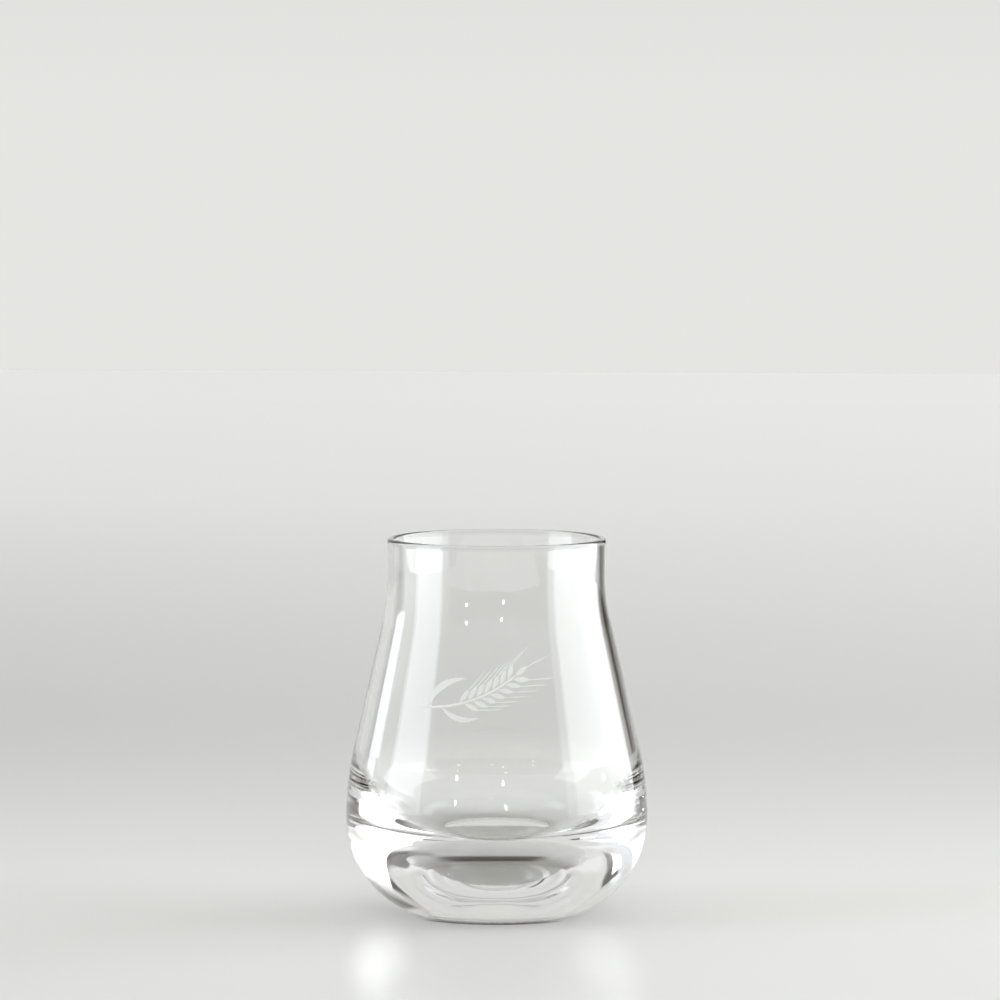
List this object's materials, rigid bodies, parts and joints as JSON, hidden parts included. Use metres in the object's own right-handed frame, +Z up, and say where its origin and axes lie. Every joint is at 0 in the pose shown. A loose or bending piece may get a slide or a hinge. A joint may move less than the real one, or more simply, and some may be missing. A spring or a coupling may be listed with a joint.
{
  "type": "tasting glass",
  "caption": "Clear tulip-shaped tasting tumbler with a heavy rounded base, a thin straight collar and a small frosted ear of barley engraved on its front.",
  "frame": {"origin": "centre of the foot ring, on the surface that the glass stands on", "axes": "+Z up along the axis of the glass, -Y towards the engraved front, +X to the right of someone who looks at the front"},
  "size_m": [0.072, 0.072, 0.09],
  "materials": {
    "clear_glass": "fire-polished clear lead-free crystal",
    "frosted_glass": "matte white, engraved into the outer wall"
  },
  "bodies": {
    "root": {"glass_body": "clear_glass", "engraved_barley": "frosted_glass"}
  },
  "joints": []
}
